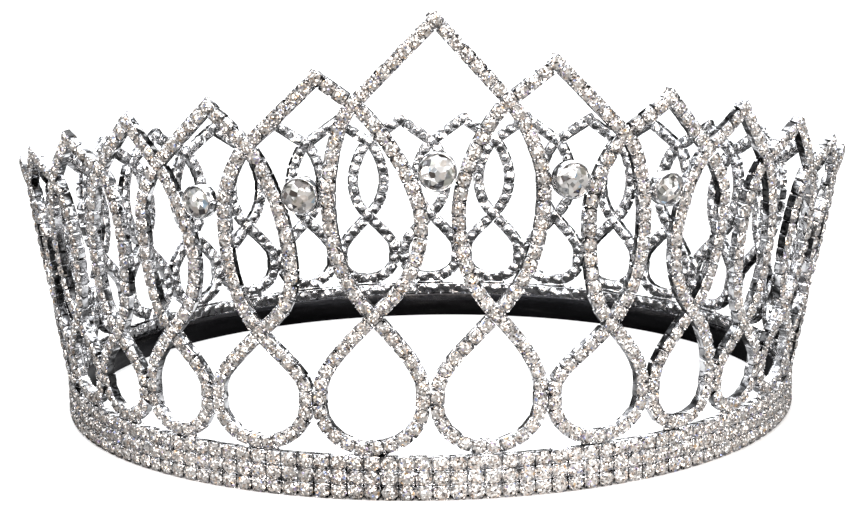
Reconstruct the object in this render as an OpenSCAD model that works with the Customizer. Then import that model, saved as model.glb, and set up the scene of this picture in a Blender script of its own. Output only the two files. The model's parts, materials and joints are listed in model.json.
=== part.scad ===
// Rhinestone crown: a paved base band, a lattice of bent cup chain and five crystals.
// The front of the crown faces -Y and the base stands on z = 0, with its centre at the origin.

/* [Base band] */
// Diameter over the stones of the base band
band_d = 148; // [140:1:170]
// Height of the base band
band_h = 7.8; // [7:0.1:9]
// Depth of the cup chain rows, from front to back
band_wall = 2.4; // [2:0.1:3]
// Rows of stones in the base band
band_rows = 3; // [2:1:4]
// Depth of the groove between two rows
row_groove = 0.3; // [0.1:0.05:0.5]
// Height of the polished strip inside the band
strip_h = 5.2; // [4:0.1:6]
// Thickness of the polished strip
strip_wall = 0.45; // [0.3:0.05:0.8]

/* [Lattice] */
// Bent chain loops round the crown
loop_count = 29; // [27:2:31]
// Width of the cup chain
chain_w = 2.55; // [2.2:0.05:2.7]
// Depth of the cup chain
chain_d = 2.5; // [2:0.1:2.8]
// Outward lean of the sides of the lattice, in degrees
side_lean = 11.2; // [0:0.2:14]
// Lean of the whole lattice towards +X, in degrees
skew = 1.4; // [0:0.1:2]
// Angle of a strand from the vertical where two strands cross at a neck
neck_angle = 42; // [36:1:46]
// Height of the straight contact between two neighbouring loops
contact_h = 2.4; // [1:0.1:3]
// Width of the solder foot under a loop
foot_w = 4.8; // [3:0.1:5]

/* [Crystals] */
// Wall of a round setting beside its crystal
setting_wall = 0.3; // [0.2:0.05:0.5]

/* [Clearances] */
// Gap between two pieces
gap = 0.06; // [0.02:0.01:0.1]

/* [Hidden] */
// Arc in degrees of the first loops on each side of the front centre
FRONT_ARCS = [16.0, 15.2, 12.2, 11.6];
// Peaks, by their number from the front centre (left ones below 0):
// number, height of the tip, shift of the tip to the right
PEAKS = [[-15, 49.3, 0], [-8, 50.2, 0], [-6, 53.0, 0], [-5, 57.1, -0.6], [-4, 61.6, -0.6],
    [-3, 66.0, 0.5], [-2, 69.4, 1.3], [-1, 74.5, 0.8], [0, 84.0, 0.2], [1, 76.4, 0.2],
    [2, 69.6, 1.1], [3, 66.5, 0.6], [4, 62.5, 0.6], [5, 57.0, 0.6], [6, 53.0, 0],
    [8, 50.2, 0], [15, 49.3, 0]];
// Contacts between loops on either side, by their number from the front centre: number, height
CONTACTS = [[0, 17.8], [1, 17.4], [2, 16.5], [3, 15.6], [15, 15.0]];
// Loops, by their number from the front centre (the first are 0.5 and -0.5): number, height and
// shift of the neck, height and shift of the crossing, and for the almond's right side and then
// its left side the greatest half width, in half arcs, and its height
LOOPS = [[-14.5, 24.6, 0, 42.2, 0, 0.49, 33.4, 0.49, 33.4],
    [-7.5, 24.6, 0, 43.6, 0, 0.50, 34.1, 0.50, 34.1],
    [-5.5, 24.6, 0, 48.3, 0, 0.54, 36.5, 0.54, 36.5],
    [-3.5, 24.8, 0, 55.0, 0, 0.57, 39.9, 0.57, 39.9],
    [-2.5, 27.1, -0.8, 57.2, -1.5, 0.655, 39.6, 0.73, 47.6],
    [-1.5, 28.7, 0, 61.0, -1.7, 0.62, 38.8, 0.635, 50.0],
    [-0.5, 32.2, 0.4, 68.3, -3.2, 0.825, 48.0, 0.72, 53.0],
    [0.5, 32.3, 0.9, 68.5, 2.5, 0.855, 53.4, 0.56, 50.4],
    [1.5, 29.2, 1.6, 62.0, 2.9, 0.725, 46.3, 0.32, 48.7],
    [2.5, 29.6, 1.0, 58.1, 1.4, 0.745, 49.3, 0.50, 42.6],
    [3.5, 24.8, 0, 55.0, 0, 0.57, 39.9, 0.57, 39.9],
    [5.5, 24.6, 0, 48.3, 0, 0.54, 36.5, 0.54, 36.5],
    [7.5, 24.6, 0, 43.6, 0, 0.50, 34.1, 0.50, 34.1],
    [14.5, 24.6, 0, 42.2, 0, 0.49, 33.4, 0.49, 33.4]];
// Crystals: number of the peak above, height, shift to the right, diameter of the setting
CRYSTALS = [[0, 57.0, 0.8, 6.6], [1, 54.8, 3.1, 6.4], [-1, 52.9, -1.8, 6.4],
    [2, 52.1, 1.3, 6.0], [-2, 51.1, -1.0, 6.0]];

// Height of the solder foot under the chain of a loop
FOOT_H = 0.1;
// Drop of an arm's centre line below the tip, in widths of the chain
ARM_DROP = 0.72;
// Handles of the Bezier curves of a loop, as shares of each curve's width and rise
LOWER_HANDLES = [0.6, 0.5];
SHOULDER_HANDLES = [0.32, 0.5];
FLANK_HANDLES = [0.205, 0.6];
BROW_HANDLES = [0.325, 0.25];

CHAIN_R = band_d / 2 - band_wall / 2;
FOOT_Z = band_h + gap;
LOOP_Z = FOOT_Z + FOOT_H + chain_w / 2;
FRONT_N = len(FRONT_ARCS);
REST_ARC = (360 - 2 * total(FRONT_ARCS)) / (loop_count - 2 * FRONT_N);
SETTING_N = len(CRYSTALS);
RING_FN = 96;

METAL = [0.78, 0.78, 0.79];
PAVED = [0.86, 0.86, 0.88];
STRIP = [0.35, 0.35, 0.37];
CRYSTAL = [0.82, 0.86, 0.92];

LOOP_NAMES = [for (i = [1 : loop_count]) str("chain_loop_", i < 10 ? "0" : "", i)];
SETTING_NAMES = [for (i = [1 : SETTING_N]) str("crystal_setting_", i)];
CRYSTAL_NAMES = [for (i = [1 : SETTING_N]) str("crystal_", i)];

// General helpers
function total(list, i = 0) = i == len(list) ? 0 : list[i] + total(list, i + 1);
function column(table, c) = [for (row = table) [row[0], row[c]]];
function read(table, c, x) = lookup(x, column(table, c));
function reversed(list) = [for (i = [len(list) - 1 : -1 : 0]) list[i]];
function bezier(c, t) = pow(1 - t, 3) * c[0] + 3 * t * pow(1 - t, 2) * c[1]
    + 3 * t * t * (1 - t) * c[2] + pow(t, 3) * c[3];
function bezier_way(c, t) = pow(1 - t, 2) * (c[1] - c[0]) + 2 * t * (1 - t) * (c[2] - c[1])
    + t * t * (c[3] - c[2]);
function left_normal(v) = [-v[1], v[0]] / norm(v);

// Layout round the crown: loop i lies between the peaks i and i + 1, counted from the front
function arc(i) =
    let (k = min(i, loop_count - 1 - i)) k < FRONT_N ? FRONT_ARCS[k] : REST_ARC;
function peak_angle(i) = i == 0 ? 0 : peak_angle(i - 1) + arc(i - 1);
function mid_angle(i) = peak_angle(i) + arc(i) / 2;
function peak_number(i) = i <= loop_count / 2 ? i : i - loop_count;
function loop_number(i) = (i < loop_count / 2 ? i : i - loop_count) + 0.5;

// The wall that the lattice lies in
function lean(a) = side_lean * pow(sin(a), 2);
function wall_r(a, z) = CHAIN_R + max(z - band_h, 0) * tan(lean(a));
function half_arc(i, z) = wall_r(mid_angle(i), z) * arc(i) / 2 * PI / 180;
function skew_x(z) = max(z - band_h, 0) * tan(skew);
// A point of loop i, p = [distance along the wall from the loop's middle, height]
function on_wall(i, p, depth) =
    let (a = mid_angle(i) + p[0] / wall_r(mid_angle(i), p[1]) * 180 / PI)
    let (r = wall_r(a, p[1]) + depth)
    [r * sin(a) + skew_x(p[1]), -r * cos(a), p[1]];

// Heights and places that shape loop i; k is 1 for its right side and -1 for its left
function side_number(i, k) = peak_number(k > 0 ? i + 1 : i);
function tip_z(i, k) = read(PEAKS, 1, side_number(i, k));
function contact_z(i, k) = read(CONTACTS, 1, abs(side_number(i, k)));
function neck(i) = [read(LOOPS, 2, loop_number(i)), read(LOOPS, 1, loop_number(i))];
function crossing(i) = [read(LOOPS, 4, loop_number(i)), read(LOOPS, 3, loop_number(i))];
function widest_z(i, k) = read(LOOPS, k > 0 ? 6 : 8, loop_number(i));
function widest_x(i, k) =
    k * read(LOOPS, k > 0 ? 5 : 7, loop_number(i)) * half_arc(i, widest_z(i, k));
function seam_x(i, k, z) = k * (half_arc(i, z) - gap / 2);
function tip_x(i, k, z) = seam_x(i, k, z) + read(PEAKS, 2, side_number(i, k));
// Way of an arm, from the crossing to the middle of its mitred end
function arm_way(i, k) =
    [tip_x(i, k, tip_z(i, k)), tip_z(i, k) - ARM_DROP * chain_w] - crossing(i);
function neck_way(k) = [k * sin(neck_angle), cos(neck_angle)];

// Corners of the lozenge where a strand along way_a (left to right) meets one along way_b
function corner(centre, way_a, way_b, side_a, side_b) =
    let (a = left_normal(way_a), b = left_normal(way_b))
    let (p = side_a * chain_w / 2, q = side_b * chain_w / 2)
    centre + [p * b[1] - q * a[1], q * a[0] - p * b[0]] / (a[0] * b[1] - a[1] * b[0]);
function neck_corner(i, a, b) = corner(neck(i), neck_way(1), neck_way(-1), a, b);
function cross_corner(i, a, b) = corner(crossing(i), arm_way(i, 1), arm_way(i, -1), a, b);
// Corners in the order left, top, right, bottom
CORNER_SIDES = [[1, 1], [1, -1], [-1, -1], [-1, 1]];
function side_corner(k) = k > 0 ? CORNER_SIDES[2] : CORNER_SIDES[0];

// Centre lines of the strands, as Bezier curves
function lower_curve(i, k) =
    let (z = contact_z(i, k) - contact_h / 2, x = seam_x(i, k, z) - k * chain_w / 2)
    [[0, LOOP_Z], [LOWER_HANDLES[0] * x, LOOP_Z], [x, z - LOWER_HANDLES[1] * (z - LOOP_Z)],
        [x, z]];
function shoulder_curve(i, k) =
    let (z = contact_z(i, k) + contact_h / 2, x = seam_x(i, k, z) - k * chain_w / 2)
    let (rise = neck(i)[1] - z, h = SHOULDER_HANDLES * rise)
    [[x, z], [x, z + h[0]], neck(i) - neck_way(-k) * h[1], neck(i)];
function flank_curve(i, k) =
    let (x = widest_x(i, k), z = widest_z(i, k), h = FLANK_HANDLES * (z - neck(i)[1]))
    [neck(i), neck(i) + neck_way(k) * h[0], [x, z - h[1]], [x, z]];
function brow_curve(i, k) =
    let (x = widest_x(i, k), z = widest_z(i, k), h = BROW_HANDLES * (crossing(i)[1] - z))
    let (way = arm_way(i, -k) / norm(arm_way(i, -k)))
    [[x, z], [x, z + h[0]], crossing(i) - way * h[1], crossing(i)];

// A section of a strand is the pair [inner edge, outer edge]
function section(c, t, k) =
    let (n = left_normal(bezier_way(c, t)) * k * chain_w / 2)
    [bezier(c, t) + n, bezier(c, t) - n];
FOOT_T = 0.17;
LOWER_T = [0.21, 0.42, 0.63, 0.82];
SHOULDER_T = [0, 0.25, 0.5, 0.75];
FLANK_T = [0.24, 0.48, 0.74];
BROW_T = [0, 0.26, 0.52, 0.78];

// One side of the teardrop, from the foot to the neck
function drop_side(i, k) =
    let (low = lower_curve(i, k), high = shoulder_curve(i, k))
    concat([[bezier(low, 0) + [0, chain_w / 2], [0, FOOT_Z]]],
        [[section(low, FOOT_T, k)[0], [k * foot_w / 2, FOOT_Z]]],
        [for (t = LOWER_T) section(low, t, k)],
        [for (t = SHOULDER_T) section(high, t, k)],
        [[neck_corner(i, -1, 1), neck_corner(i, side_corner(k)[0], side_corner(k)[1])]]);
function teardrop(i) =
    let (left = reversed(drop_side(i, -1)), right = drop_side(i, 1))
    concat(left, [for (j = [1 : len(right) - 1]) right[j]]);
// One side of the almond, from the neck to the crossing
function almond_side(i, k) = concat(
    [[neck_corner(i, 1, -1), neck_corner(i, side_corner(k)[0], side_corner(k)[1])]],
    [for (t = FLANK_T) section(flank_curve(i, k), t, k)],
    [for (t = BROW_T) section(brow_curve(i, k), t, k)],
    [[cross_corner(i, -1, 1), cross_corner(i, side_corner(k)[0], side_corner(k)[1])]]);
// One arm, from the crossing to its mitred end at the peak, as [upper edge, lower edge]
function arm(i, k) =
    let (z = tip_z(i, k), way = arm_way(i, k))
    let (low = z - chain_w * norm(way) / abs(way[0]))
    let (start = [cross_corner(i, 1, -1), cross_corner(i, side_corner(k)[0], side_corner(k)[1])])
    let (end = [[tip_x(i, k, z), z], [tip_x(i, k, low), low]])
    [start, (start + end) / 2, end];

// Points and triangles of one strand, four points to a section
function strand_points(i, strand) = [for (s = strand, q = [0 : 3])
    on_wall(i, q == 0 || q == 3 ? s[0] : s[1], q < 2 ? chain_d / 2 : -chain_d / 2)];
function two_triangles(f) = [[f[0], f[1], f[2]], [f[0], f[2], f[3]]];
function strand_faces(count, base) = [for (j = [0 : count - 2], q = [0 : 3])
    each two_triangles([for (v = [q, q + 4, (q + 1) % 4 + 4, (q + 1) % 4]) base + 4 * j + v])];
function start_cap(base) = two_triangles([for (v = [0 : 3]) base + v]);
function end_cap(count, base) = two_triangles([for (v = [3 : -1 : 0]) base + 4 * count - 4 + v]);
function lozenge_points(i, corners) = [for (d = [chain_d / 2, -chain_d / 2], c = corners)
    on_wall(i, c, d)];
function lozenge_faces(base) = concat(two_triangles([for (v = [0 : 3]) base + v]),
    two_triangles([for (v = [7 : -1 : 4]) base + v]));

// One length of cup chain, bent to a teardrop, an almond and two arms
module chain_loop(i) {
    strands = [teardrop(i), almond_side(i, 1), reversed(almond_side(i, -1)),
        arm(i, 1), reversed(arm(i, -1))];
    starts = [for (n = [0 : 5]) total([for (m = [0 : 4]) m < n ? 4 * len(strands[m]) : 0])];
    neck_corners = [for (s = CORNER_SIDES) neck_corner(i, s[0], s[1])];
    cross_corners = [for (s = CORNER_SIDES) cross_corner(i, s[0], s[1])];
    points = concat([for (strand = strands) each strand_points(i, strand)],
        lozenge_points(i, neck_corners), lozenge_points(i, cross_corners));
    faces = concat([for (n = [0 : 4]) each strand_faces(len(strands[n]), starts[n])],
        end_cap(len(strands[3]), starts[3]), start_cap(starts[4]),
        lozenge_faces(starts[5]), lozenge_faces(starts[5] + 8));
    color(METAL)
        polyhedron(points, faces, convexity = 8);
}

// The polished strip that lines the inside of the base band
module base_strip() {
    r = band_d / 2 - band_wall - gap;
    color(STRIP)
        rotate_extrude($fn = RING_FN)
            translate([r - strip_wall, 0])
                square([strip_wall, strip_h]);
}

// The paved band: rows of stones in one soldered ring, with a groove between two rows
module stone_band() {
    r = band_d / 2;
    row_h = band_h / band_rows;
    rim = [for (row = [0 : band_rows - 1]) each [[r - row_groove, row * row_h],
        [r, row * row_h + row_groove], [r, (row + 1) * row_h - row_groove]]];
    color(PAVED)
        rotate_extrude($fn = RING_FN)
            polygon(concat(rim,
                [[r - row_groove, band_h], [r - band_wall, band_h], [r - band_wall, 0]]));
}

// Places a crystal or its setting; n = 0 is the centre one, and then right and left in turn
module on_lattice(n) {
    row = CRYSTALS[n];
    z = row[1];
    peak = sign(row[0]) * peak_angle(abs(row[0]));
    a = peak + row[2] / wall_r(peak, z) * 180 / PI;
    translate([skew_x(z), 0, 0])
        rotate([0, 0, a])
            translate([0, -wall_r(a, z), z])
                rotate([90 + lean(a), 0, 0])
                    children();
}

// Heights along the axis of a crystal, from the middle of the cup chain outwards
SETTING_BACK = -chain_d / 2;
SETTING_FLOOR = 0.6;
SETTING_RIM = 1.2;
GIRDLE_Z = 0.75;
GIRDLE_H = 0.3;
TABLE_Z = 1.95;
// Widths of the table and of the hole behind the crystal, as shares of its diameter
TABLE_SHARE = 0.58;
HOLE_SHARE = 0.5;
CULET_R = 0.3;
CRYSTAL_FN = 64;

function setting_d(n) = CRYSTALS[n][3];
function crystal_d(n) = setting_d(n) - 2 * setting_wall - 2 * gap;

// A round setting: a cup with a sharp rim, open at the back behind the crystal's point
module crystal_setting(n) {
    floor_z = SETTING_BACK + SETTING_FLOOR;
    color(METAL)
        on_lattice(n)
            difference() {
                translate([0, 0, SETTING_BACK])
                    cylinder(h = SETTING_RIM - SETTING_BACK, d = setting_d(n), $fn = CRYSTAL_FN);
                translate([0, 0, floor_z])
                    cylinder(h = SETTING_RIM - floor_z + 1, d = crystal_d(n) + 2 * gap,
                        $fn = CRYSTAL_FN);
                translate([0, 0, SETTING_BACK - 1])
                    cylinder(h = SETTING_FLOOR + 2, d = HOLE_SHARE * crystal_d(n),
                        $fn = CRYSTAL_FN);
            }
}

// A round brilliant crystal
module crystal(n) {
    r = crystal_d(n) / 2;
    culet_z = SETTING_BACK + SETTING_FLOOR + gap;
    color(CRYSTAL)
        on_lattice(n)
            rotate_extrude($fn = CRYSTAL_FN)
                polygon([[0, culet_z], [CULET_R, culet_z], [r, GIRDLE_Z], [r, GIRDLE_Z + GIRDLE_H],
                    [TABLE_SHARE * r, TABLE_Z], [0, TABLE_Z]]);
}

base_strip();
stone_band();
for (i = [0 : loop_count - 1])
    chain_loop(i);
for (n = [0 : SETTING_N - 1]) {
    crystal_setting(n);
    crystal(n);
}
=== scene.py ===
import json
import math
import random

import bpy
from mathutils import Matrix, Vector

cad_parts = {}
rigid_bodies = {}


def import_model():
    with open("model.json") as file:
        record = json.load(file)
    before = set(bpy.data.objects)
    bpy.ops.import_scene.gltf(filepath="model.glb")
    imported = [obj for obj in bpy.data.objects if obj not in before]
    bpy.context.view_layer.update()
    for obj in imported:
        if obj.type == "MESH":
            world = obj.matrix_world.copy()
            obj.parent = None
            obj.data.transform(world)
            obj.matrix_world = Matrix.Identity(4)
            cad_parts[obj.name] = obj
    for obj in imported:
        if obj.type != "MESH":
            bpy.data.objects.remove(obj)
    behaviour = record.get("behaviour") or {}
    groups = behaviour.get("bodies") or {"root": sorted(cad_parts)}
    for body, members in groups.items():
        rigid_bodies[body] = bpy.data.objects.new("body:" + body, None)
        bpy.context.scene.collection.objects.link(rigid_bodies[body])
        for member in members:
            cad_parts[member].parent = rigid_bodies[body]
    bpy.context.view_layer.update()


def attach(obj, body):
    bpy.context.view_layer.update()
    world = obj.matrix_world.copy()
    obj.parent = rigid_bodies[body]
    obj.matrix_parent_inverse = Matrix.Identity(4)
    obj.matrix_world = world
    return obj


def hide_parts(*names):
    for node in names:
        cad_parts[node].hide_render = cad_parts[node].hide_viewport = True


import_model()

# The polished strip
# A flat ribbon of plated steel, rolled to a ring and soldered behind the two lower rows of
# stones. Its inner face is a polished mirror, coloured near black as painted shade, with faint
# marks from the buffing.
MM = 0.001
STRIP_R = 71.09 * MM
STRIP_WALL = 0.45 * MM
STRIP_H = 5.2 * MM
STRIP_EDGE = 0.12 * MM
STRIP_STEPS = 240
WELD = 0.01 * MM


def deselect():
    for ob in bpy.context.view_layer.objects:
        ob.select_set(False)


def pick(*objects):
    """Selects these objects and no others, with the first as the active one."""
    deselect()
    for ob in objects:
        ob.select_set(True)
    bpy.context.view_layer.objects.active = objects[0]


def settle(ob):
    """Puts a finished piece's place into its mesh."""
    pick(ob)
    bpy.ops.object.transform_apply(location=True, rotation=True, scale=True)


def select_none(mesh):
    for part in (*mesh.vertices, *mesh.edges, *mesh.polygons):
        part.select = False


def select_faces(ob, test):
    """In object mode, selects the faces for which test(face) is true and no others."""
    select_none(ob.data)
    for f in ob.data.polygons:
        f.select = test(f)


def edit(mode):
    """Opens the active object's mesh, with the selection that was made in object mode."""
    bpy.ops.object.mode_set(mode="EDIT")
    bpy.ops.mesh.select_mode(type=mode)


def new_material(name, **sockets):
    """A material with the given values on its shader's own sockets."""
    mat = bpy.data.materials.new(name)
    mat.use_nodes = True
    shader = mat.node_tree.nodes["Principled BSDF"]
    for socket, value in sockets.items():
        shader.inputs[socket.replace("_", " ")].default_value = value
    return mat, mat.node_tree, shader


def feed(tree, socket, source):
    """Gives an input another node's output, or else a plain value."""
    if isinstance(source, bpy.types.NodeSocket):
        tree.links.new(source, socket)
    else:
        socket.default_value = source


def add_node(tree, kind, *sources, **settings):
    """A node. The sources go to its inputs in order. A setting with a capital letter is an input
    by its name, and any other is a property."""
    node = tree.nodes.new(kind)
    for name, value in settings.items():
        if name[0].isupper():
            feed(tree, node.inputs[name.replace("_", " ")], value)
        else:
            setattr(node, name, value)
    for socket, source in zip(node.inputs, sources):
        feed(tree, socket, source)
    return node


def object_place(tree):
    return add_node(tree, "ShaderNodeTexCoord").outputs["Object"]


def add_noise(tree, place, scale, detail, roughness=0.5):
    """Soft random patches, as a number from 0 to 1."""
    node = add_node(tree, "ShaderNodeTexNoise", Vector=place, Scale=scale, Detail=detail,
                    Roughness=roughness)
    return node.outputs[0]


def add_ramp(tree, number, stops, interpolation="LINEAR"):
    """The number's colour on a ramp of (place, grey or colour) stops."""
    node = add_node(tree, "ShaderNodeValToRGB", number)
    ramp = node.color_ramp
    ramp.interpolation = interpolation
    while len(ramp.elements) < len(stops):
        ramp.elements.new(1.0)
    for element, (place, colour) in zip(ramp.elements, stops):
        element.position = place
        grey = (colour,) * 3 if isinstance(colour, (int, float)) else colour
        element.color = (*grey, 1)
    return node.outputs[0]


def make_strip_metal():
    """A mirror coloured near black as painted shade, with streaks round the ring and a finely
    scuffed shine.
    """
    metal, tree, shader = new_material("polished_strip", Metallic=1.0)
    place = object_place(tree)
    stretch = add_node(tree, "ShaderNodeMapping", Vector=place, Scale=(90, 90, 900))
    streaks = add_noise(tree, stretch.outputs[0], 1.0, 3.0, 0.6)
    scuffs = add_noise(tree, place, 1400.0, 2.0)
    # painted shade: the strip's colour is near black, with lighter streaks from the buffing
    tone = add_ramp(tree, streaks, [(0.3, (0.03, 0.03, 0.034)), (0.62, (0.07, 0.07, 0.075)),
                                    (0.8, (0.17, 0.165, 0.16))])
    feed(tree, shader.inputs["Base Color"], tone)
    feed(tree, shader.inputs["Roughness"], add_ramp(tree, scuffs, [(0.35, 0.1), (0.7, 0.26)]))
    return metal


deselect()
bpy.ops.mesh.primitive_plane_add(size=1, location=(0, 0, 0))
strip = bpy.context.object
strip.name = "band_strip"
strip.rotation_euler = (math.pi / 2, 0, 0)
strip.scale = (STRIP_WALL, STRIP_H, 1)
strip.location = (STRIP_R + STRIP_WALL / 2, 0, STRIP_H / 2)
settle(strip)
bpy.ops.object.mode_set(mode="EDIT")
bpy.ops.mesh.select_all(action="SELECT")
bpy.ops.mesh.bevel(offset=STRIP_EDGE, segments=2, affect="VERTICES")
bpy.ops.mesh.spin(steps=STRIP_STEPS, angle=2 * math.pi, center=(0, 0, 0), axis=(0, 0, 1))
bpy.ops.object.mode_set(mode="OBJECT")
# the profile that was spun is left inside the closed ring
select_faces(strip, lambda f: abs(f.normal.y) > 0.99 and abs(f.center.y) < 0.001 * MM)
edit("FACE")
bpy.ops.mesh.delete(type="ONLY_FACE")
bpy.ops.mesh.select_all(action="SELECT")
bpy.ops.mesh.remove_doubles(threshold=WELD)
bpy.ops.mesh.normals_make_consistent(inside=False)
bpy.ops.object.mode_set(mode="OBJECT")
bpy.ops.object.shade_smooth_by_angle(angle=math.radians(50))
strip.data.materials.append(make_strip_metal())
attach(strip, "root")
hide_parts("base_strip")

# The paved band
# Three rows of cup chain soldered edge to edge: 154 columns of round rhinestones, each pressed
# into a stamped box cup with four claws, and joined to the next cup by a flat tab behind.
BAND_COLUMNS = 154
BAND_ROWS = 3
BAND_ROW_H = 2.6 * MM
BAND_MID_R = 72.8 * MM
# how far the first column stands from the front, in columns
BAND_PHASE = 0.65
# greatest random turn of a cup or stone, in degrees
BAND_WOBBLE = 1.2
BAND_CUP = (2.9 * MM, 2.56 * MM)
BAND_STONE_R = 1.3 * MM
BAND_STONE_STRETCH = 1.1
LOW_CUP_PINCH = 0.84
LOW_CUP_EDGE = 0.5 * MM
# what lies nearer than this to a height or a plane is taken as on it
NEAR = 0.1 * MM
CUP_BACK = -1.2 * MM
CUP_RIM = 0.45 * MM
CUP_CORNER = 0.22 * MM
CUP_ROUND = 0.55 * MM
CUP_RIM_EDGE = 0.07 * MM
CUP_LIP = 0.1 * MM
CUP_RECESS = 0.25 * MM
CLAW_W = 0.42 * MM
CLAW_TOP = 0.78 * MM
CLAW_SINK = 0.05 * MM
CLAW_INSET = 0.28 * MM
CLAW_LEAN = 0.22 * MM
CLAW_TAPER = 0.5
TAB_W = 1.5 * MM
TAB_WALL = 0.3 * MM
TAB_OVERLAP = 0.6 * MM
TAB_RISE = 0.25 * MM
STUD_R = 1.0 * MM
STUD_FLATNESS = 0.34
STUD_RISE = 0.03 * MM
STONE_GIRDLE_Z = CUP_RIM - 0.05 * MM
STONE_TABLE_Z = 0.94 * MM
# shares of a stone's radius, and of the way from its girdle to its table
STONE_TABLE = 0.56
STONE_STAR = 0.2
STONE_MID = 0.5
STONE_STAR_RISE = 0.14
# painted reflections of the foiled back facets that show through a stone: white glints, greys and
# dark specks
CELL_GLINTS = [(0.0, 1.0), (0.48, (0.95, 0.94, 0.93)), (0.62, (0.8, 0.75, 0.71)), (0.74, 0.48),
              (0.85, (0.15, 0.13, 0.12)), (0.92, 1.0)]
# each cut face's tint, painted reflections: whites, warm greys, a dark, and rare orange, blue and
# violet glints
RHINESTONE_GLINTS = [(0.0, (1.0, 0.99, 0.97)), (0.4, (1.0, 0.97, 0.94)), (0.6, (0.98, 0.9, 0.83)),
                    (0.74, (0.86, 0.83, 0.81)), (0.84, (0.8, 0.67, 0.58)),
                    (0.91, (0.36, 0.32, 0.3)), (0.94, (0.98, 0.72, 0.46)),
                    (0.955, (0.5, 0.6, 0.97)), (0.972, (0.74, 0.66, 0.95)),
                    (0.984, (1.0, 1.0, 1.0))]
rng = random.Random(29)


def add_block(size, centre):
    """A plain block to shape further, with its place in its mesh."""
    deselect()
    bpy.ops.mesh.primitive_cube_add(size=1)
    block = bpy.context.object
    block.scale = size
    block.location = centre
    settle(block)
    return block


def select_edges(ob, test):
    """In object mode, selects the edges for which test(end, end) is true and no others."""
    select_none(ob.data)
    for e in ob.data.edges:
        e.select = test(*(ob.data.vertices[v].co for v in e.vertices))


def bevel_edges(ob, test, width, segments):
    select_edges(ob, test)
    edit("EDGE")
    bpy.ops.mesh.bevel(offset=width, segments=segments)
    bpy.ops.object.mode_set(mode="OBJECT")


def delete_faces(ob, test, kind):
    select_faces(ob, test)
    edit("FACE")
    bpy.ops.mesh.delete(type=kind)
    bpy.ops.object.mode_set(mode="OBJECT")


def mark_shaded_walls(cup, test):
    """Gives the number 1 to the upright outer faces for which test(face) is true. The plating
    darkens these faces with painted shade.
    """
    for n, f in enumerate(cup.data.polygons):
        outer = abs(f.normal.z) < 0.4 and f.normal.xy.dot(f.center.xy) > 0
        if outer and test(f):
            cup.data.attributes["wall"].data[n].value = 1.0


def make_cup_box(length, width):
    """The stamped box, with a round bottom and the hollow that the stone sits in."""
    box = add_block((length, width, CUP_RIM - CUP_BACK), (0, 0, (CUP_RIM + CUP_BACK) / 2))
    low, long = CUP_BACK + NEAR, length / 2
    bevel_edges(box, lambda a, b: abs(a.z - b.z) > NEAR, CUP_CORNER, 1)
    bevel_edges(box, lambda a, b: max(a.z, b.z) < low and abs(a.x - b.x) > long, CUP_ROUND, 3)
    bevel_edges(box, lambda a, b: min(a.z, b.z) > CUP_RIM - NEAR, CUP_RIM_EDGE, 1)
    select_faces(box, lambda f: f.normal.z > 0.99)
    edit("FACE")
    bpy.ops.mesh.inset(thickness=CUP_LIP)
    bpy.ops.transform.translate(value=(0, 0, -CUP_RECESS))
    bpy.ops.object.mode_set(mode="OBJECT")
    bpy.ops.object.shade_smooth_by_angle(angle=math.radians(40))
    box.data.attributes.new("wall", "FLOAT", "FACE")
    # the walls across the chain get painted shade from the plating
    mark_shaded_walls(box, lambda f: abs(f.normal.y) > 0.5)
    return box


def make_claw(length, width, x, y):
    """The claw at the corner (x, y), each 1 or -1: bent inwards over the stone, open below."""
    claw = add_block((CLAW_W, CLAW_W, CLAW_TOP - CUP_RIM + CUP_RECESS + CLAW_SINK),
                     (x * (length / 2 - CLAW_INSET), y * (width / 2 - CLAW_INSET),
                      (CLAW_TOP + CUP_RIM - CUP_RECESS - CLAW_SINK) / 2))
    select_faces(claw, lambda f: f.normal.z > 0.9)
    edit("FACE")
    bpy.ops.transform.translate(value=(-x * CLAW_LEAN, -y * CLAW_LEAN, 0))
    bpy.ops.transform.resize(value=(CLAW_TAPER, CLAW_TAPER, 1))
    bpy.ops.object.mode_set(mode="OBJECT")
    delete_faces(claw, lambda f: f.normal.z < -0.9, "ONLY_FACE")
    return claw


def make_stud():
    """The round stud that the press leaves on a cup's back."""
    deselect()
    bpy.ops.mesh.primitive_uv_sphere_add(segments=10, ring_count=6, radius=STUD_R)
    stud = bpy.context.object
    stud.scale = (1, 1, STUD_FLATNESS)
    stud.location = (0, 0, CUP_BACK + STUD_RISE)
    settle(stud)
    delete_faces(stud, lambda f: f.center.z > CUP_BACK + NEAR, "FACE")
    bpy.ops.object.shade_smooth()
    return stud


def make_cup(name, length, width, pitch):
    """One stamped cup at the origin: the chain runs along X and the stone looks along Z."""
    cup = make_cup_box(length, width)
    claws = [make_claw(length, width, x, y) for x in (-1, 1) for y in (-1, 1)]
    tab = add_block((pitch - length + TAB_OVERLAP, TAB_W, TAB_WALL),
                    (pitch / 2, 0, CUP_BACK + TAB_RISE))
    pick(cup, *claws, tab, make_stud())
    bpy.ops.object.join()
    cup.name = name
    return cup


def make_brilliant(name, rings):
    """A cut stone at the origin: the hull of rings of corners (corners, radius, height, turn).
    The first ring stays unturned."""
    corners, radius, height, _ = rings[0]
    deselect()
    bpy.ops.mesh.primitive_circle_add(vertices=corners, radius=radius, location=(0, 0, height))
    stone = bpy.context.object
    stone.name = name
    settle(stone)
    bpy.ops.object.mode_set(mode="EDIT")
    for corners, radius, height, turn in rings[1:]:
        bpy.ops.mesh.primitive_circle_add(vertices=corners, radius=radius,
                                          location=(0, 0, height), rotation=(0, 0, turn))
    bpy.ops.mesh.select_all(action="SELECT")
    # triangles that lie flat to each other become one facet
    bpy.ops.mesh.convex_hull(face_threshold=math.radians(2), shape_threshold=math.radians(180))
    bpy.ops.object.mode_set(mode="OBJECT")
    return stone


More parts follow.
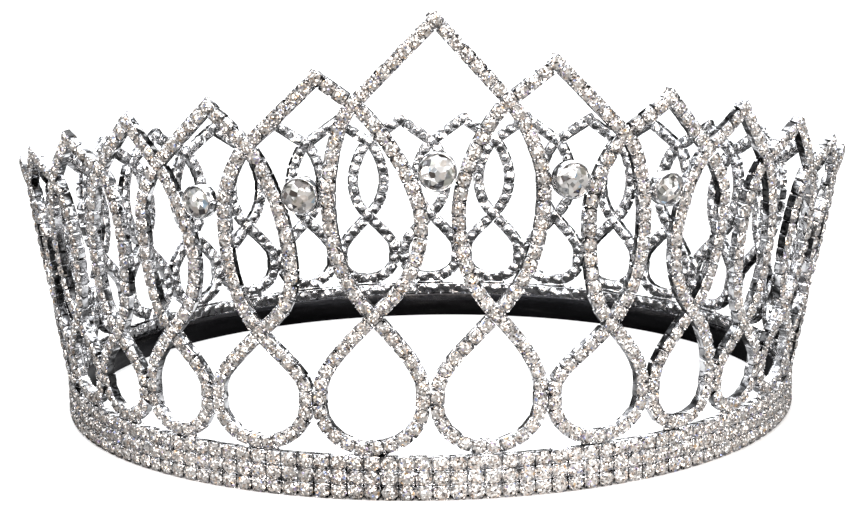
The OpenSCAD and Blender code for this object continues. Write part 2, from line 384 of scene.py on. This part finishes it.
def crown_rings(radius, low, high):
    """The rings of a brilliant's crown: girdle, the kites' side corners, the table's edge and,
    as the back facets show through the table, a flat star on it."""
    middle = radius * (1 - (1 - STONE_TABLE) * STONE_MID) / math.cos(math.pi / 8)
    edge = high - STONE_STAR_RISE * (high - low)
    return [(16, radius, low, 0), (8, middle, low + STONE_MID * (edge - low), math.pi / 8),
            (8, STONE_TABLE * radius, edge, 0), (4, STONE_STAR * radius, high, 0)]


def number_facets(stone):
    """Gives each cut face a random number of its own, which the glass takes its tint from. The
    tints are painted reflections.
    """
    numbers = stone.data.attributes.new("facet", "FLOAT", "FACE")
    numbers.data.foreach_set("value", [rng.random() for _ in stone.data.polygons])


def spread_copies(unit, name, places, cut=False):
    """One piece of many copies of unit, whose facets are numbered when it is a cut stone."""
    copies = []
    for place in places:
        ob = unit.copy()
        ob.data = unit.data.copy()
        bpy.context.collection.objects.link(ob)
        ob.matrix_world = place
        if cut:
            number_facets(ob)
        copies.append(ob)
    pick(*copies)
    bpy.ops.object.join()
    piece = copies[0]
    piece.name = piece.data.name = name
    settle(piece)
    return piece


def unit_place(point, along, outward, wobble):
    """The place of one cup or stone, turned a little at random as a hand-bent chain is."""
    x, z = along.normalized(), outward.normalized()
    y = z.cross(x).normalized()
    x = y.cross(z)
    turn = Matrix((x, y, z)).transposed().to_4x4()
    tilt = Matrix.Identity(4)
    for axis in "XYZ":
        tilt = tilt @ Matrix.Rotation(math.radians(rng.uniform(-wobble, wobble)), 4, axis)
    return Matrix.Translation(point) @ turn @ tilt


def add_mix(tree, share, first, second, blend="MIX"):
    """Two colours mixed or multiplied."""
    node = add_node(tree, "ShaderNodeMix", data_type="RGBA", blend_type=blend)
    for socket, source in ((0, share), (6, first), (7, second)):
        feed(tree, node.inputs[socket], source)
    return node.outputs[2]


def make_plating():
    """Bright silver plating with a hammered swell. The cups' outer walls are darkened in patches,
    which is painted shade."""
    metal, tree, shader = new_material("plated_metal", Metallic=1.0)
    place = object_place(tree)
    cloud = add_noise(tree, place, 620.0, 3.0, 0.6)
    tone = add_ramp(tree, cloud, [(0.32, (0.4, 0.4, 0.41)), (0.5, (0.84, 0.84, 0.85)),
                                  (0.66, (0.97, 0.97, 0.98))])
    # painted shade: dark patches on the cups' outer walls, where the wall attribute is 1
    wall_shade = add_noise(tree, place, 105.0, 1.5, 0.5)
    wall_shade_tone = add_ramp(tree, wall_shade, [(0.41, 0.05), (0.45, 0.4), (0.5, 1.0)])
    wall = add_node(tree, "ShaderNodeAttribute", attribute_name="wall").outputs["Fac"]
    swell = add_noise(tree, place, 380.0, 1.0, 0.4)
    waves = add_node(tree, "ShaderNodeBump", Strength=1.0, Distance=1.4 * MM, Height=swell)
    feed(tree, shader.inputs["Base Color"], add_mix(tree, wall, tone, wall_shade_tone, "MULTIPLY"))
    feed(tree, shader.inputs["Roughness"], add_ramp(tree, cloud, [(0.3, 0.24), (0.6, 0.07)]))
    feed(tree, shader.inputs["Normal"], waves.outputs[0])
    return metal


def foiled_glass(name, cell_scale, tilt, foil, glint_tones):
    """Foiled glass. A cut face's own number picks its tint from the given list, which holds
    painted reflections and glints. Small cells stand for the foiled back facets: each has its own
    tone, a painted glint, and leans its own way, the more the tilt is."""
    glass, tree, shader = new_material(name, Metallic=foil, Roughness=0.06,
                                       Specular_IOR_Level=0.6, Coat_Weight=0.6,
                                       Coat_Roughness=0.02)
    facet = add_node(tree, "ShaderNodeAttribute", attribute_name="facet").outputs["Fac"]
    cells = add_node(tree, "ShaderNodeTexVoronoi", Vector=object_place(tree), Scale=cell_scale)
    cell = cells.outputs["Color"]
    number = add_node(tree, "ShaderNodeSeparateColor", cell).outputs[0]
    # painted reflections and glints, by cut face and by small cell
    facet_glint = add_ramp(tree, facet, glint_tones, "CONSTANT")
    cell_glint = add_ramp(tree, number, CELL_GLINTS, "CONSTANT")
    lean = add_node(tree, "ShaderNodeVectorMath", cell, (0.5, 0.5, 0.5), operation="SUBTRACT")
    lean = add_node(tree, "ShaderNodeVectorMath", lean.outputs[0], operation="SCALE", Scale=tilt)
    normal = add_node(tree, "ShaderNodeNewGeometry").outputs["Normal"]
    tilted = add_node(tree, "ShaderNodeVectorMath", normal, lean.outputs[0], operation="ADD")
    unit = add_node(tree, "ShaderNodeVectorMath", tilted.outputs[0], operation="NORMALIZE")
    tone = add_mix(tree, 1.0, facet_glint, cell_glint, "MULTIPLY")
    feed(tree, shader.inputs["Base Color"], tone)
    feed(tree, shader.inputs["Normal"], unit.outputs[0])
    return glass


plating = make_plating()
rhinestone = foiled_glass("rhinestone", cell_scale=3300.0, tilt=1.5, foil=0.65,
                          glint_tones=RHINESTONE_GLINTS)
band_pitch = 2 * math.pi * BAND_MID_R / BAND_COLUMNS
cup_unit = make_cup("band_cup_unit", *BAND_CUP, band_pitch)
cup_unit.data.materials.append(plating)
stone_unit = make_brilliant("band_stone_unit",
                            crown_rings(BAND_STONE_R, STONE_GIRDLE_Z, STONE_TABLE_Z))
stone_unit.data.materials.append(rhinestone)
stone_unit.scale.x = BAND_STONE_STRETCH
settle(stone_unit)
# column by column, each from the lowest row up
places = []
for column in range(BAND_COLUMNS):
    a = 2 * math.pi * (column + BAND_PHASE) / BAND_COLUMNS
    along, outward = Vector((math.cos(a), math.sin(a), 0)), Vector((math.sin(a), -math.cos(a), 0))
    for row in range(BAND_ROWS):
        point = Vector((BAND_MID_R * math.sin(a), -BAND_MID_R * math.cos(a),
                        (row + 0.5) * BAND_ROW_H))
        places.append(unit_place(point, along, outward, BAND_WOBBLE))
# the lowest row's cups are pinched at their lower edge, and get painted shade on every outer side
low_unit = cup_unit.copy()
low_unit.data = cup_unit.data.copy()
bpy.context.collection.objects.link(low_unit)
pick(low_unit)
select_edges(low_unit, lambda a, b: max(a.y, b.y) < LOW_CUP_EDGE - BAND_CUP[1] / 2)
edit("EDGE")
bpy.ops.transform.resize(value=(LOW_CUP_PINCH, 1, 1), center_override=(0, 0, 0))
bpy.ops.object.mode_set(mode="OBJECT")
mark_shaded_walls(low_unit, lambda f: True)
upper_places = [place for n, place in enumerate(places) if n % BAND_ROWS]
band_cups = spread_copies(cup_unit, "band_cups", upper_places)
low_cups = spread_copies(low_unit, "band_low_cups", places[::BAND_ROWS])
pick(band_cups, low_cups)
bpy.ops.object.join()
band_stones = spread_copies(stone_unit, "band_stones", places, cut=True)
for piece, slot in ((band_cups, "plated_metal"), (band_stones, "rhinestones")):
    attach(piece, "root")
    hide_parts("stone_band")
for unit in (cup_unit, low_unit, stone_unit):
    bpy.data.objects.remove(unit, do_unlink=True)

# The lattice
# 29 lengths of single cup chain, each bent by hand to a teardrop, an almond and two arms, and
# soldered to the band at its foot, to its neighbours at the sides and at the peaks.
LOOP_COUNT = 29
CHAIN_CUP = (2.42 * MM, 2.44 * MM)
CHAIN_STONE_R = 1.22 * MM
CHAIN_WOBBLE = 2.0
# the bends are worked out in mm, and wall_place turns them to metres
CHAIN_W = 2.55
CHAIN_R = 72.8
CHAIN_PITCH = 2.48
BAND_TOP = 7.8
SOLDER_GAP = 0.06
FOOT_H = 0.1
LOOP_Z = BAND_TOP + SOLDER_GAP + FOOT_H + CHAIN_W / 2
SIDE_LEAN = math.radians(11.2)
SKEW = math.radians(1.4)
NECK_ANGLE = math.radians(42)
NECK_SIDE, NECK_UP = math.sin(NECK_ANGLE), math.cos(NECK_ANGLE)
CONTACT_H = 2.4
# how far an arm's last stone lies below the peak's tip, in chain widths
ARM_DROP = 0.72
# lengths of each bend's two handles, as shares of its rise, but the first of all of its width
LOWER_HANDLES = (0.6, 0.5)
SHOULDER_HANDLES = (0.32, 0.5)
FLANK_HANDLES = (0.205, 0.6)
BROW_HANDLES = (0.325, 0.25)
BEND_STEPS = 24
# each drop of solder: its place behind the chain's middle line, and its three half sizes
FOOT_DROP = (-0.6, (3.2, 0.6, 0.8))
SIDE_DROP = (-0.85, (0.8, 1.5, 0.6))
CROSS_DROP = (-0.95, (1.15, 1.15, 0.55))
FOOT_DROP_RISE = 0.3
# degrees of arc that the loops take on each side from the front on, and all the others
FRONT_ARCS = [16.0, 15.2, 12.2, 11.6]
REST_ARC = (360 - 2 * sum(FRONT_ARCS)) / (LOOP_COUNT - 2 * len(FRONT_ARCS))
# peak number (left ones below 0), height of the tip, shift of the tip to the right
PEAKS = [(-15, 49.3, 0), (-8, 50.2, 0), (-6, 53.0, 0), (-5, 57.1, -0.6), (-4, 61.6, -0.6),
         (-3, 66.0, 0.5), (-2, 69.4, 1.3), (-1, 74.5, 0.8), (0, 84.0, 0.2), (1, 76.4, 0.2),
         (2, 69.6, 1.1), (3, 66.5, 0.6), (4, 62.5, 0.6), (5, 57.0, 0.6), (6, 53.0, 0),
         (8, 50.2, 0), (15, 49.3, 0)]
# peak number, height of the contact between the two loops below it
CONTACTS = [(0, 17.8), (1, 17.4), (2, 16.5), (3, 15.6), (15, 15.0)]
# loop number (left ones below 0), height and shift of the neck and then of the crossing, and the
# greatest half width, in half arcs, and its height, of the almond's right and left side
LOOPS = [(-14.5, 24.6, 0, 42.2, 0, 0.49, 33.4, 0.49, 33.4),
         (-7.5, 24.6, 0, 43.6, 0, 0.50, 34.1, 0.50, 34.1),
         (-5.5, 24.6, 0, 48.3, 0, 0.54, 36.5, 0.54, 36.5),
         (-3.5, 24.8, 0, 55.0, 0, 0.57, 39.9, 0.57, 39.9),
         (-2.5, 27.1, -0.8, 57.2, -1.5, 0.655, 39.6, 0.73, 47.6),
         (-1.5, 28.7, 0, 61.0, -1.7, 0.62, 38.8, 0.635, 50.0),
         (-0.5, 32.2, 0.4, 68.3, -3.2, 0.825, 48.0, 0.72, 53.0),
         (0.5, 32.3, 0.9, 68.5, 2.5, 0.855, 53.4, 0.56, 50.4),
         (1.5, 29.2, 1.6, 62.0, 2.9, 0.725, 46.3, 0.32, 48.7),
         (2.5, 29.6, 1.0, 58.1, 1.4, 0.745, 49.3, 0.50, 42.6),
         (3.5, 24.8, 0, 55.0, 0, 0.57, 39.9, 0.57, 39.9),
         (5.5, 24.6, 0, 48.3, 0, 0.54, 36.5, 0.54, 36.5),
         (7.5, 24.6, 0, 43.6, 0, 0.50, 34.1, 0.50, 34.1),
         (14.5, 24.6, 0, 42.2, 0, 0.49, 33.4, 0.49, 33.4)]


def read_row(table, x):
    """The columns after the first at x, on straight lines between the rows."""
    if x <= table[0][0]:
        return table[0][1:]
    for low, high in zip(table, table[1:]):
        if x <= high[0]:
            share = (x - low[0]) / (high[0] - low[0])
            return [a + share * (b - a) for a, b in zip(low[1:], high[1:])]
    return table[-1][1:]


def loop_arc(i):
    k = min(i, LOOP_COUNT - 1 - i)
    return FRONT_ARCS[k] if k < len(FRONT_ARCS) else REST_ARC


def peak_angle(i):
    return math.radians(sum(loop_arc(j) for j in range(i)))


def mid_angle(i):
    return peak_angle(i) + math.radians(loop_arc(i)) / 2


def wall_r(a, z):
    """The lattice's radius: it is upright at the front and back, and leans out at the sides."""
    return CHAIN_R + max(z - BAND_TOP, 0) * math.tan(SIDE_LEAN * math.sin(a) ** 2)


def on_wall(a0, s, z, depth=0.0):
    """A point in metres, s mm along the lattice's wall from the angle a0 and z mm up."""
    a = a0 + s / wall_r(a0, z)
    r = wall_r(a, z) + depth
    x = r * math.sin(a) + max(z - BAND_TOP, 0) * math.tan(SKEW)
    return Vector((x, -r * math.cos(a), z)) * MM


def wall_place(a0, s, z, ds, dz, depth=0.0):
    """The place of a cup on the wall, with its chain running along (ds, dz)."""
    step = 0.05
    point = on_wall(a0, s, z, depth)
    side = on_wall(a0, s + step, z, depth) - on_wall(a0, s - step, z, depth)
    rise = on_wall(a0, s, z + step, depth) - on_wall(a0, s, z - step, depth)
    return unit_place(point, side * ds + rise * dz, side.cross(rise), CHAIN_WOBBLE)


def bezier(a, b, c, d):
    points = []
    for j in range(BEND_STEPS + 1):
        t = j / BEND_STEPS
        points.append(a * (1 - t) ** 3 + b * 3 * t * (1 - t) ** 2
                      + c * 3 * t * t * (1 - t) + d * t ** 3)
    return points


def step_along(line):
    """Evenly spaced (point, way) pairs between the ends of a line, about a pitch apart."""
    lengths = [0.0]
    for p, q in zip(line, line[1:]):
        lengths.append(lengths[-1] + (q - p).length)
    count = max(2, round(lengths[-1] / CHAIN_PITCH))
    found = []
    for j in range(1, count):
        at = lengths[-1] * j / count
        n = next(m for m in range(1, len(lengths)) if lengths[m] >= at)
        share = (at - lengths[n - 1]) / (lengths[n] - lengths[n - 1])
        found.append((line[n - 1].lerp(line[n], share), line[n] - line[n - 1]))
    return found


class Loop:
    """The strands of one loop, as points (s, z) in mm along its wall. Its side k is 1 on the
    right and -1 on the left."""

    def __init__(self, i):
        self.a0 = mid_angle(i)
        self.half = math.radians(loop_arc(i)) / 2
        self.peaks = {-1: self.signed(i), 1: self.signed(i + 1)}
        number = (i if i < LOOP_COUNT / 2 else i - LOOP_COUNT) + 0.5
        neck_z, neck_s, cross_z, cross_s, right, right_z, left, left_z = read_row(LOOPS, number)
        self.neck = Vector((neck_s, neck_z))
        self.cross = Vector((cross_s, cross_z))
        self.widest = {k: Vector((k * share * wall_r(self.a0, z) * self.half, z))
                       for k, share, z in ((1, right, right_z), (-1, left, left_z))}

    @staticmethod
    def signed(n):
        """A peak's number, below 0 on the left."""
        return n if n <= LOOP_COUNT / 2 else n - LOOP_COUNT

    def seam(self, k, z):
        """How far from the loop's middle line the next loop begins."""
        return k * wall_r(self.a0, z) * self.half

    def apex(self, k):
        """The middle of the last stone of the arm that goes to the peak."""
        z, shift = read_row(PEAKS, self.peaks[k])
        return Vector((self.seam(k, z) + shift, z - ARM_DROP * CHAIN_W))

    def contact(self, k, end):
        """The middle of the contact with the next loop, or its lower or upper end (-1 or 1)."""
        z = read_row(CONTACTS, abs(self.peaks[k]))[0] + end * CONTACT_H / 2
        return Vector((self.seam(k, z) - k * CHAIN_W / 2, z))

    def half_drop(self, k):
        """From the foot to the neck."""
        low, high = self.contact(k, -1), self.contact(k, 1)
        foot = Vector((0, LOOP_Z))
        lower = bezier(foot, Vector((LOWER_HANDLES[0] * low.x, LOOP_Z)),
                       Vector((low.x, low.y - LOWER_HANDLES[1] * (low.y - LOOP_Z))), low)
        rise = self.neck.y - high.y
        way = Vector((k * NECK_SIDE, -NECK_UP))
        shoulder = bezier(high, high + Vector((0, SHOULDER_HANDLES[0] * rise)),
                          self.neck + way * SHOULDER_HANDLES[1] * rise, self.neck)
        return lower + shoulder

    def flank(self, k):
        """From the neck to the crossing."""
        wide = self.widest[k]
        rise = wide.y - self.neck.y
        way = Vector((k * NECK_SIDE, NECK_UP))
        lower = bezier(self.neck, self.neck + way * FLANK_HANDLES[0] * rise,
                       wide - Vector((0, FLANK_HANDLES[1] * rise)), wide)
        rise = self.cross.y - wide.y
        way = (self.apex(-k) - self.cross).normalized()
        brow = bezier(wide, wide + Vector((0, BROW_HANDLES[0] * rise)),
                      self.cross - way * BROW_HANDLES[1] * rise, self.cross)
        return lower + brow[1:]

    def cup_places(self):
        """The place of every cup, with one at the neck, the crossing and the left peak."""
        stops = step_along(list(reversed(self.half_drop(-1))) + self.half_drop(1)[1:])
        for k in (-1, 1):
            stops += step_along(self.flank(k))
            stops += step_along([self.cross, self.apex(k)])
        stops.append((self.neck, Vector((NECK_SIDE, NECK_UP))))
        stops.append((self.cross, self.apex(1) - self.cross))
        stops.append((self.apex(-1), self.apex(-1) - self.cross))
        return [wall_place(self.a0, p.x, p.y, way.x, way.y) for p, way in stops]

    def solder_places(self):
        """The drops at the foot, at the left neighbour, at the neck and at the crossing."""
        left = self.contact(-1, 0)
        drops = [(0, BAND_TOP + FOOT_DROP_RISE, *FOOT_DROP),
                 (left.x - CHAIN_W / 2, left.y, *SIDE_DROP),
                 (self.neck.x, self.neck.y, *CROSS_DROP),
                 (self.cross.x, self.cross.y, *CROSS_DROP)]
        return [wall_place(self.a0, s, z, 1, 0, depth)
                @ Matrix.Diagonal((*[v * MM for v in size], 1)) for s, z, depth, size in drops]


cup_unit = make_cup("chain_cup_unit", *CHAIN_CUP, CHAIN_PITCH * MM)
cup_unit.data.materials.append(plating)
stone_unit = make_brilliant("chain_stone_unit",
                            crown_rings(CHAIN_STONE_R, STONE_GIRDLE_Z, STONE_TABLE_Z))
stone_unit.data.materials.append(rhinestone)
# a drop of solder, which solder_places flattens
deselect()
bpy.ops.mesh.primitive_uv_sphere_add(segments=10, ring_count=6, radius=1)
solder_unit = bpy.context.object
bpy.ops.object.shade_smooth()
solder_unit.data.materials.append(plating)

for i in range(LOOP_COUNT):
    loop = Loop(i)
    places = loop.cup_places()
    cups = spread_copies(cup_unit, "loop_%02d_cups" % (i + 1), places)
    stones = spread_copies(stone_unit, "loop_%02d_stones" % (i + 1), places, cut=True)
    solder = spread_copies(solder_unit, "loop_%02d_solder" % (i + 1), loop.solder_places())
    pick(cups, solder)
    bpy.ops.object.join()
    for piece, slot in ((cups, "plated_metal"), (stones, "rhinestones")):
        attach(piece, "root")
        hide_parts("chain_loop_%02d" % (i + 1))
for unit in (cup_unit, stone_unit, solder_unit):
    bpy.data.objects.remove(unit, do_unlink=True)

# The five large crystals
# Round cut glass crystals, each held by the rolled rim of a plain round setting of plated brass
# that is soldered between the front loops. The crystal's point shows through a hole behind.
# in mm, from the lattice's wall outwards
SETTING_BACK = -1.25
SETTING_FLOOR = 0.6
SETTING_RIM = 1.2
SETTING_WALL = 0.3
SETTING_ROUND = 0.13
CRYSTAL_GAP = 0.06
GIRDLE_Z = 0.75
GIRDLE_H = 0.2
CRYSTAL_TOP = 1.95
CRYSTAL_STAR = 0.4
CRYSTAL_STAR_DROP = 0.07
CULET_R = 0.3
SETTING_SIDES = 40
# peak above, height, shift to the right, diameter of the setting
CRYSTALS = [(0, 57.0, 0.8, 6.6), (1, 54.8, 3.1, 6.4), (-1, 52.9, -1.8, 6.4), (2, 52.1, 1.3, 6.0),
            (-2, 51.1, -1.0, 6.0)]
# each cut face's tint, painted reflections: whites, greys, darks and a rare blue glint
CRYSTAL_GLINTS = [(0.0, (1.0, 1.0, 1.0)), (0.25, (0.84, 0.87, 0.88)), (0.37, (0.42, 0.44, 0.45)),
                 (0.47, (0.95, 0.95, 0.93)), (0.64, (0.1, 0.1, 0.11)), (0.71, (0.56, 0.58, 0.54)),
                 (0.79, (0.99, 1.0, 1.0)), (0.89, (0.3, 0.3, 0.28)), (0.92, (1.0, 1.0, 1.0)),
                 (0.95, (0.6, 0.79, 0.98)), (0.975, (1.0, 1.0, 1.0))]


def make_setting(name, diameter):
    """A round cup along Z, in mm: hollow for the crystal, with a hole behind and a rolled rim."""
    hollow = diameter / 2 - SETTING_WALL
    deselect()
    bpy.ops.mesh.primitive_cylinder_add(vertices=SETTING_SIDES, radius=diameter / 2,
                                        depth=SETTING_RIM - SETTING_BACK,
                                        location=(0, 0, (SETTING_RIM + SETTING_BACK) / 2))
    setting = bpy.context.object
    setting.name = name
    settle(setting)
    select_faces(setting, lambda f: f.normal.z > 0.9)
    edit("FACE")
    bpy.ops.mesh.inset(thickness=SETTING_WALL)
    bpy.ops.mesh.extrude_region_move(
        TRANSFORM_OT_translate={"value": (0, 0, SETTING_BACK + SETTING_FLOOR - SETTING_RIM)})
    bpy.ops.mesh.inset(thickness=hollow / 2)
    bpy.ops.object.mode_set(mode="OBJECT")
    select_faces(setting, lambda f: f.normal.z < -0.9)
    edit("FACE")
    bpy.ops.mesh.inset(thickness=diameter / 2 - hollow / 2)
    bpy.ops.object.mode_set(mode="OBJECT")
    # the hole joins the small round faces in the middle of the floor and of the back
    select_faces(setting, lambda f: abs(f.normal.z) > 0.9 and f.center.xy.length < 0.1)
    edit("FACE")
    bpy.ops.mesh.bridge_edge_loops()
    bpy.ops.object.mode_set(mode="OBJECT")

    def on_outline(a, b):
        rim = min(a.z, b.z) > SETTING_RIM - 0.05
        back = max(a.z, b.z) < SETTING_BACK + 0.05
        return rim or (back and min(a.xy.length, b.xy.length) > hollow)

    bevel_edges(setting, on_outline, SETTING_ROUND, 3)
    bpy.ops.object.shade_smooth_by_angle(angle=math.radians(50))
    return setting


cut_crystal = foiled_glass("cut_crystal", cell_scale=900.0, tilt=1.2, foil=0.5,
                           glint_tones=CRYSTAL_GLINTS)
for n, (peak, z, shift, diameter) in enumerate(CRYSTALS):
    peak_a = math.copysign(peak_angle(abs(peak)), peak)
    a = peak_a + shift / wall_r(peak_a, z)
    lean = SIDE_LEAN * math.sin(a) ** 2
    r = wall_r(a, z)
    seat = (Matrix.Translation(Vector(((z - BAND_TOP) * math.tan(SKEW), 0, 0)) * MM)
            @ Matrix.Rotation(a, 4, "Z") @ Matrix.Translation(Vector((0, -r, z)) * MM)
            @ Matrix.Rotation(math.pi / 2 + lean, 4, "X") @ Matrix.Scale(MM, 4))
    setting = make_setting("setting_%d" % (n + 1), diameter)
    setting.data.materials.append(plating)
    radius = diameter / 2 - SETTING_WALL - CRYSTAL_GAP
    culet = (8, CULET_R, SETTING_BACK + SETTING_FLOOR + CRYSTAL_GAP, 0)
    star = (8, CRYSTAL_STAR * radius, CRYSTAL_TOP - CRYSTAL_STAR_DROP, math.pi / 8)
    rings = [culet, star] + crown_rings(radius, GIRDLE_Z + GIRDLE_H, CRYSTAL_TOP)
    jewel = make_brilliant("cut_crystal_%d" % (n + 1), rings)
    jewel.data.materials.append(cut_crystal)
    number_facets(jewel)
    for piece, node, slot in ((setting, "crystal_setting_%d", "plated_metal"),
                              (jewel, "crystal_%d", "crystal")):
        piece.matrix_world = seat
        settle(piece)
        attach(piece, "root")
        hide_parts(node % (n + 1))

# The floor, the lights and the camera
# A plain white table top under soft boxes in a dim studio, which the bright metal and the stones
# reflect as patches of light and dark, and the photograph's view from a little above.
FLOOR_SIZE = 8
FLOOR_WHITE = 0.94
ROOM_WHITE = 0.56
ROOM_LIGHT = 2.05
LIGHT_TARGET = Vector((0, 0, 0.03))
CAMERA_PLACE = (0.00174, -0.4017, 0.1071)
CAMERA_TURN = 0.247
CAMERA_DOWN = 11.136
CAMERA_ROLL = -0.931
CAMERA_LENS = 84.0


def add_camera_ray(tree):
    return add_node(tree, "ShaderNodeLightPath").outputs["Is Camera Ray"]


def make_floor_paper():
    """White to the camera. In reflections it is a dark table with pale patches, which falls off
    to black behind the crown."""
    paper, tree, shader = new_material("white_paper", Roughness=0.9)
    place = object_place(tree)
    patches = add_noise(tree, place, 9.0, 1.0, 0.4)
    table = add_ramp(tree, patches, [(0.44, 0.008), (0.54, 0.07), (0.64, 0.45)])
    depth = add_node(tree, "ShaderNodeSeparateXYZ", place).outputs["Y"]
    fade = add_ramp(tree, depth, [(0.0, 1.0), (0.12, 0.08)])
    reflected = add_mix(tree, 1.0, table, fade, "MULTIPLY")
    white = (FLOOR_WHITE, FLOOR_WHITE, FLOOR_WHITE, 1)
    feed(tree, shader.inputs["Base Color"], add_mix(tree, add_camera_ray(tree), reflected, white))
    return paper


def soft_box(name, place, size, watts, colour=(1, 1, 1)):
    light = bpy.data.lights.new(name, "AREA")
    light.color = colour
    light.shape = "RECTANGLE"
    light.size, light.size_y = size
    light.energy = watts
    ob = bpy.data.objects.new(name, light)
    bpy.context.collection.objects.link(ob)
    ob.location = place
    ob.rotation_euler = (LIGHT_TARGET - Vector(place)).to_track_quat("-Z", "Y").to_euler()


def make_room():
    """White to the camera. In reflections it is a room with a pale, patchy ceiling."""
    world = bpy.data.worlds.new("studio")
    world.use_nodes = True
    tree = world.node_tree
    ambient = tree.nodes["Background"]
    ambient.inputs["Strength"].default_value = ROOM_LIGHT
    way = add_node(tree, "ShaderNodeTexCoord").outputs["Generated"]
    height = add_node(tree, "ShaderNodeSeparateXYZ", way).outputs["Z"]
    ceiling = add_ramp(tree, height, [(0.0, 0.02), (0.35, 0.05), (0.54, (0.72, 0.74, 0.78)),
                                      (1.0, (1.06, 1.09, 1.14))])
    patches = add_noise(tree, way, 3.2, 1.0, 0.4)
    contrast = add_ramp(tree, patches, [(0.42, 0.08), (0.52, 0.9), (0.62, 1.7)])
    reflected = add_mix(tree, 1.0, ceiling, contrast, "MULTIPLY")
    white = (ROOM_WHITE, ROOM_WHITE, ROOM_WHITE, 1)
    feed(tree, ambient.inputs["Color"], add_mix(tree, add_camera_ray(tree), reflected, white))
    return world


deselect()
bpy.ops.mesh.primitive_plane_add(size=FLOOR_SIZE, location=(0, 0, 0))
floor = bpy.context.object
floor.name = "floor"
floor.data.materials.append(make_floor_paper())

soft_box("box_top", (0, 0.1, 1.1), (1.1, 0.8), 8)
soft_box("box_left", (-1.1, -0.5, 0.5), (0.6, 0.6), 2.0)
soft_box("box_right", (1.1, -0.35, 0.5), (0.6, 0.6), 2.5)
soft_box("box_front", (0.1, -1.3, 0.6), (1.3, 0.6), 17, (1.0, 0.9, 0.81))
soft_box("box_back", (0, 1.3, 0.7), (1.2, 0.5), 9)
bpy.context.scene.world = make_room()

camera = bpy.data.objects.new("camera", bpy.data.cameras.new("camera"))
bpy.context.collection.objects.link(camera)
camera.data.lens = CAMERA_LENS
camera.matrix_world = (Matrix.Translation(CAMERA_PLACE)
                       @ Matrix.Rotation(math.radians(CAMERA_TURN), 4, "Z")
                       @ Matrix.Rotation(math.radians(90 - CAMERA_DOWN), 4, "X")
                       @ Matrix.Rotation(math.radians(CAMERA_ROLL), 4, "Z"))
bpy.context.scene.camera = camera
bpy.context.scene.view_settings.view_transform = "Standard"
